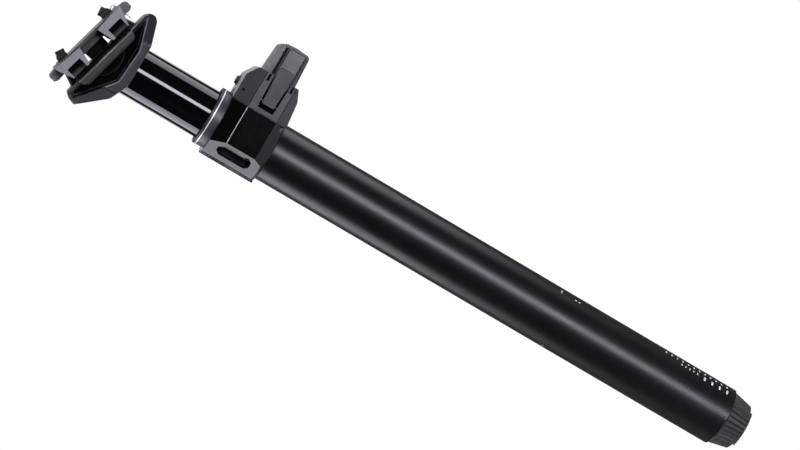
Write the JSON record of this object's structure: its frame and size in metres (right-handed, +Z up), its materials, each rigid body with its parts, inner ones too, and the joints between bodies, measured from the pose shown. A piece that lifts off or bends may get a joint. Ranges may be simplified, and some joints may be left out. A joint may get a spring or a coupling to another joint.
{
  "type": "dropper seatpost",
  "caption": "Wireless dropper seatpost: sliding stanchion, collar with electronics box, latched battery and tilting rail clamp.",
  "frame": {"origin": "on the post's axis at the collar's lower face, where the frame's seat tube ends", "axes": "+Z up along the post, +X to the front where the battery sits, +Y to the rider's left"},
  "size_m": [0.0815, 0.055, 0.4053],
  "materials": {
    "blasted_black": "satin black anodised, fine bead-blasted grain",
    "polished_black": "gloss black coated stanchion",
    "forged_black": "satin black anodised forging",
    "bright_trim": "bright turned",
    "bare_metal": "machined",
    "black_bolt": "black oxide",
    "brass_part": "machined",
    "seal_rubber": "matt",
    "bushing_plastic": "matt",
    "box_plastic": "fine moulded texture",
    "battery_plastic": "fine moulded texture",
    "gear_plastic": "moulded",
    "board_green": "solder mask",
    "cell_wrap": "shrink wrap",
    "lens_clear": "clear"
  },
  "bodies": {
    "post": {"lower_tube": "blasted_black", "collar_body": "forged_black", "rear_cover": "forged_black", "collar_ring": "forged_black", "trim_ring": "bright_trim", "wiper_seal": "seal_rubber", "foam_ring": "seal_rubber", "upper_bushing": "bushing_plastic", "air_shaft": "bare_metal", "air_piston": "bare_metal", "piston_seals": "seal_rubber", "top_out_bumper": "seal_rubber", "base_plug": "bare_metal", "plug_seal": "seal_rubber", "air_valve": "brass_part", "electronics_box": "box_plastic", "box_gasket": "seal_rubber", "box_screws": "black_bolt", "circuit_board": "board_green", "servo_motor": "bare_metal", "gear_pin": "bare_metal", "contact_pins": "brass_part", "button_seal": "seal_rubber", "status_lens": "lens_clear", "latch_pin": "bare_metal"},
    "saddle_post": {"stanchion": "polished_black", "lower_bushing": "bushing_plastic", "guide_keys": "brass_part", "seal_head": "bare_metal", "shaft_seal": "seal_rubber", "yoke_head": "forged_black", "top_plug": "bare_metal"},
    "clamp": {"cradle": "forged_black", "upper_clamp": "forged_black"},
    "front_bolt": {"front_bolt": "black_bolt"},
    "rear_bolt": {"rear_bolt": "black_bolt"},
    "front_nut": {"front_nut": "black_bolt"},
    "rear_nut": {"rear_nut": "black_bolt"},
    "battery": {"battery_case": "battery_plastic", "battery_cover": "battery_plastic", "battery_cells": "cell_wrap", "battery_contacts": "brass_part"},
    "latch": {"latch": "box_plastic"},
    "button": {"function_button": "box_plastic"},
    "drive_gear": {"drive_gear": "gear_plastic"},
    "motor_pinion": {"motor_pinion": "brass_part"},
    "valve_plunger": {"valve_plunger": "bare_metal"},
    "bottom_cap": {"bottom_cap": "box_plastic", "cap_seal": "seal_rubber"},
    "valve_pin": {"valve_pin": "brass_part"}
  },
  "joints": [
    {"name": "post_slide", "type": "slide", "parent": "post", "child": "saddle_post", "axis": [0, 0, 1], "range_m": [-0.037, 0.113]},
    {"name": "clamp_tilt", "type": "hinge", "parent": "saddle_post", "child": "clamp", "pos_m": [0, 0, 0.1004], "axis": [0, 1, 0], "range_deg": [-5, 5]},
    {"name": "front_bolt_swing", "type": "hinge", "parent": "saddle_post", "child": "front_bolt", "pos_m": [0.01939, 0, 0.08457], "axis": [0, 1, 0], "range_deg": [-2, 2]},
    {"name": "rear_bolt_swing", "type": "hinge", "parent": "saddle_post", "child": "rear_bolt", "pos_m": [-0.02471, 0, 0.09638], "axis": [0, 1, 0], "range_deg": [-2, 2]},
    {"name": "front_nut_travel", "type": "slide", "parent": "front_bolt", "child": "front_nut", "axis": [-0.0698, 0, 0.9976], "range_m": [-0.0017, 0.0017]},
    {"name": "rear_nut_travel", "type": "slide", "parent": "rear_bolt", "child": "rear_nut", "axis": [0.5592, 0, 0.829], "range_m": [-0.0017, 0.0017]},
    {"name": "battery_slide", "type": "slide", "parent": "post", "child": "battery", "axis": [1, 0, 0], "range_m": [0, 0.03]},
    {"name": "latch_swing", "type": "hinge", "parent": "post", "child": "latch", "pos_m": [0.0202, -0.0179, 0.0143], "axis": [0, 0, -1], "range_deg": [0, 65]},
    {"name": "button_press", "type": "slide", "parent": "post", "child": "button", "axis": [0, 0, -1], "range_m": [0, 0.0007], "stiffness_N_per_m": 800, "springref_m": -0.0008},
    {"name": "drive_turn", "type": "hinge", "parent": "post", "child": "drive_gear", "pos_m": [0.0219, 0.006, 0.01692], "axis": [0, -1, 0], "range_deg": [0, 90]},
    {"name": "pinion_turn", "type": "hinge", "parent": "post", "child": "motor_pinion", "pos_m": [0.0219, 0.006, 0.0094], "axis": [0, -1, 0], "range_deg": [-242, 2]},
    {"name": "plunger_slide", "type": "slide", "parent": "post", "child": "valve_plunger", "axis": [-1, 0, 0], "range_m": [0, 0.0012]},
    {"name": "cap_removal", "type": "slide", "parent": "post", "child": "bottom_cap", "axis": [0, 0, -1], "range_m": [0, 0.016]},
    {"name": "valve_press", "type": "slide", "parent": "post", "child": "valve_pin", "axis": [0, 0, 1], "range_m": [0, 0.0012], "stiffness_N_per_m": 300, "springref_m": -0.0005}
  ],
  "couplings": [
    {"joint": "front_bolt_swing", "follows": "clamp_tilt", "ratio": 0.23797},
    {"joint": "rear_bolt_swing", "follows": "clamp_tilt", "ratio": 0.23797},
    {"joint": "front_nut_travel", "follows": "clamp_tilt", "m_per_rad": -0.018237},
    {"joint": "rear_nut_travel", "follows": "clamp_tilt", "m_per_rad": 0.018237},
    {"joint": "pinion_turn", "follows": "drive_turn", "ratio": -2.6667},
    {"joint": "plunger_slide", "follows": "drive_turn", "m_per_rad": 0.0007}
  ]
}
